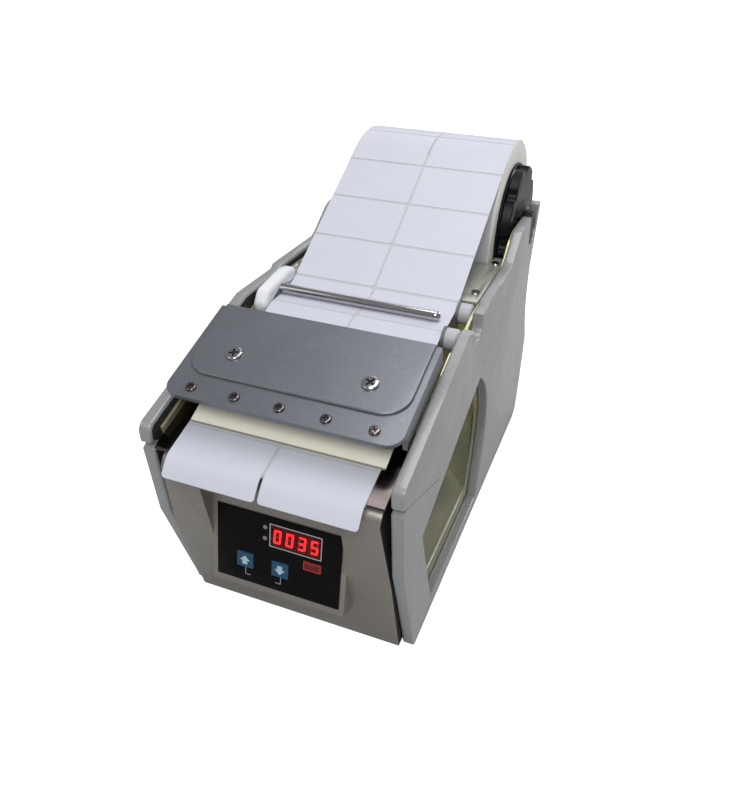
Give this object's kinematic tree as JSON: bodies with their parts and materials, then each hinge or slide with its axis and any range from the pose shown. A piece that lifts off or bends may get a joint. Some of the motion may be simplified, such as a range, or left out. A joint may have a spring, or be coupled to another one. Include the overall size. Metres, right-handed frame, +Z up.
{
  "type": "label dispenser",
  "caption": "Tabletop electric label dispenser with a loaded roll, peel edge, guide rod, front control panel and windowed side covers.",
  "frame": {"origin": "centre of the footprint of the whole object, on the table", "axes": "+X to the right seen from the front, +Y to the roll at the back, +Z up"},
  "size_m": [0.138, 0.3284, 0.227],
  "materials": {
    "cover_grey": "satin metallic grey",
    "lid_grey": "satin dark metallic grey",
    "housing_grey": "satin warm grey",
    "zinc": "yellow zinc",
    "stainless": "polished",
    "chrome": "mirror",
    "steel": "ground",
    "nylon": "white nylon",
    "collar": "satin",
    "ring_grey": "grey",
    "black_plastic": "black",
    "rubber": "matt",
    "roller_rubber": "matt",
    "gear_plastic": "natural acetal",
    "brass": "turned",
    "liner": "coated",
    "label": "coated white",
    "roll": "coated white",
    "core": "raw",
    "film": "translucent cream",
    "overlay": "black",
    "window": "smoked red",
    "display": "red digits",
    "lamp": "red",
    "blue_key": "blue",
    "red_key": "red",
    "board": "green"
  },
  "bodies": {
    "machine": {"base_plate": "zinc", "bulkhead": "zinc", "circuit_board": "board", "control_panel": "overlay", "cover_bridge": "zinc", "cover_front_bar": "steel", "cover_screws_large": "chrome", "cover_screws_small": "chrome", "deck_plate": "zinc", "deck_screws": "chrome", "digit_display": "display", "display_window": "window", "drive_bushes": "brass", "front_cross_shaft": "chrome", "front_housing": "housing_grey", "gear_motor": "steel", "guide_block": "nylon", "guide_collars": "collar", "guide_rings": "ring_grey", "hold_down_rod": "chrome", "idler_stud": "steel", "indicator_lamps": "lamp", "label_sensor": "black_plastic", "left_frame_plate": "zinc", "left_peeled_label": "label", "left_side_cover": "cover_grey", "liner_edge_turn": "liner", "liner_return": "liner", "liner_tail": "liner", "motor_bracket": "zinc", "peel_plate": "stainless", "power_jack": "black_plastic", "press_film": "film", "rear_cross_shaft": "chrome", "rear_panel": "zinc", "right_frame_plate": "zinc", "right_peeled_label": "label", "right_side_cover": "cover_grey", "rubber_feet": "rubber", "switch_frame": "black_plastic", "top_cover": "lid_grey", "web_labels": "label", "web_roll_span": "liner", "web_shaft_span": "liner", "web_table_span": "liner"},
    "spool": {"spool_shaft": "steel", "roll_core": "core", "label_roll": "roll", "left_spool_hub": "black_plastic", "right_spool_hub": "black_plastic"},
    "drive": {"drive_shaft": "steel", "drive_roller": "roller_rubber", "drive_gear": "gear_plastic"},
    "pinch": {"pinch_roller": "steel"},
    "idler": {"idler_gear": "gear_plastic"},
    "pinion": {"motor_pinion": "brass"},
    "up": {"up_key": "blue_key"},
    "down": {"down_key": "blue_key"},
    "reset": {"reset_key": "red_key"},
    "rocker": {"power_rocker": "black_plastic"}
  },
  "joints": [
    {"name": "spool_turn", "type": "hinge", "parent": "machine", "child": "spool", "pos_m": [0, 0.10825, 0.171], "axis": [1, 0, 0], "continuous": true},
    {"name": "drive_roller_turn", "type": "hinge", "parent": "machine", "child": "drive", "pos_m": [0, -0.09075, 0.114], "axis": [1, 0, 0], "continuous": true},
    {"name": "pinch_roller_turn", "type": "hinge", "parent": "machine", "child": "pinch", "pos_m": [0, -0.09225, 0.1299], "axis": [1, 0, 0], "continuous": true},
    {"name": "idler_gear_turn", "type": "hinge", "parent": "machine", "child": "idler", "pos_m": [0, -0.09075, 0.08887], "axis": [1, 0, 0], "continuous": true},
    {"name": "motor_pinion_turn", "type": "hinge", "parent": "machine", "child": "pinion", "pos_m": [0, -0.08758, 0.069], "axis": [1, 0, 0], "continuous": true},
    {"name": "power_rocker_tip", "type": "hinge", "parent": "machine", "child": "rocker", "pos_m": [0, 0.12575, 0.032], "axis": [1, 0, 0], "range_deg": [-14, 0]},
    {"name": "up_key_press", "type": "slide", "parent": "machine", "child": "up", "axis": [0, 0.9887, -0.1502], "range_m": [0, 0.0005], "stiffness_N_per_m": 1000},
    {"name": "down_key_press", "type": "slide", "parent": "machine", "child": "down", "axis": [0, 0.9887, -0.1502], "range_m": [0, 0.0005], "stiffness_N_per_m": 1000},
    {"name": "reset_key_press", "type": "slide", "parent": "machine", "child": "reset", "axis": [0, 0.9887, -0.1502], "range_m": [0, 0.0005], "stiffness_N_per_m": 1000}
  ],
  "couplings": [
    {"joint": "drive_roller_turn", "follows": "spool_turn", "ratio": -5.6},
    {"joint": "pinch_roller_turn", "follows": "spool_turn", "ratio": 11.2},
    {"joint": "idler_gear_turn", "follows": "spool_turn", "ratio": 5.1692},
    {"joint": "motor_pinion_turn", "follows": "spool_turn", "ratio": -9.6}
  ]
}
